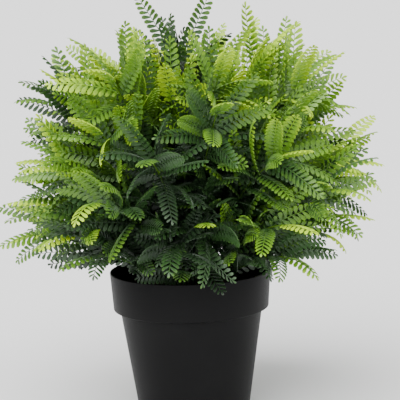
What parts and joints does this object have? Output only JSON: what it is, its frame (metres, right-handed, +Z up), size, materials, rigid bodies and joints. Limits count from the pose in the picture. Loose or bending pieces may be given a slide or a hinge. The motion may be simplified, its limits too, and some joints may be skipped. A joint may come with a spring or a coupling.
{
  "type": "potted maidenhair fern",
  "caption": "Bushy fern of arching feathery fronds growing from a crown in compost, in a tapered matt plastic pot with a raised rim band and drain holes.",
  "frame": {"origin": "centre of the pot's flat underside, on the surface that the pot stands on", "axes": "+Z up along the pot's axis, -Y the side that faces the viewer, +X to that viewer's right"},
  "size_m": [0.2931, 0.2998, 0.3153],
  "materials": {
    "pot_plastic": "matte",
    "compost": "matte",
    "crown": "matte",
    "frond": "satin"
  },
  "bodies": {
    "root": {"pot": "pot_plastic", "compost": "compost", "crown": "crown", "frond_01": "frond", "frond_02": "frond", "frond_03": "frond", "frond_04": "frond", "frond_05": "frond", "frond_06": "frond", "frond_07": "frond", "frond_08": "frond", "frond_09": "frond", "frond_10": "frond", "frond_11": "frond", "frond_12": "frond", "frond_13": "frond", "frond_14": "frond", "frond_15": "frond", "frond_16": "frond", "frond_17": "frond", "frond_18": "frond", "frond_19": "frond", "frond_20": "frond", "frond_21": "frond", "frond_22": "frond", "frond_23": "frond", "frond_24": "frond", "frond_25": "frond", "frond_26": "frond", "frond_27": "frond", "frond_28": "frond", "frond_29": "frond", "frond_30": "frond", "frond_31": "frond", "frond_32": "frond", "frond_33": "frond", "frond_34": "frond", "frond_35": "frond", "frond_36": "frond", "frond_37": "frond", "frond_38": "frond", "frond_39": "frond", "frond_40": "frond", "frond_41": "frond", "frond_42": "frond", "frond_43": "frond", "frond_44": "frond", "frond_45": "frond", "frond_46": "frond", "frond_47": "frond", "frond_48": "frond", "frond_49": "frond", "frond_50": "frond", "frond_51": "frond", "frond_52": "frond", "frond_53": "frond", "frond_54": "frond", "frond_55": "frond", "frond_56": "frond", "frond_57": "frond"}
  },
  "joints": []
}
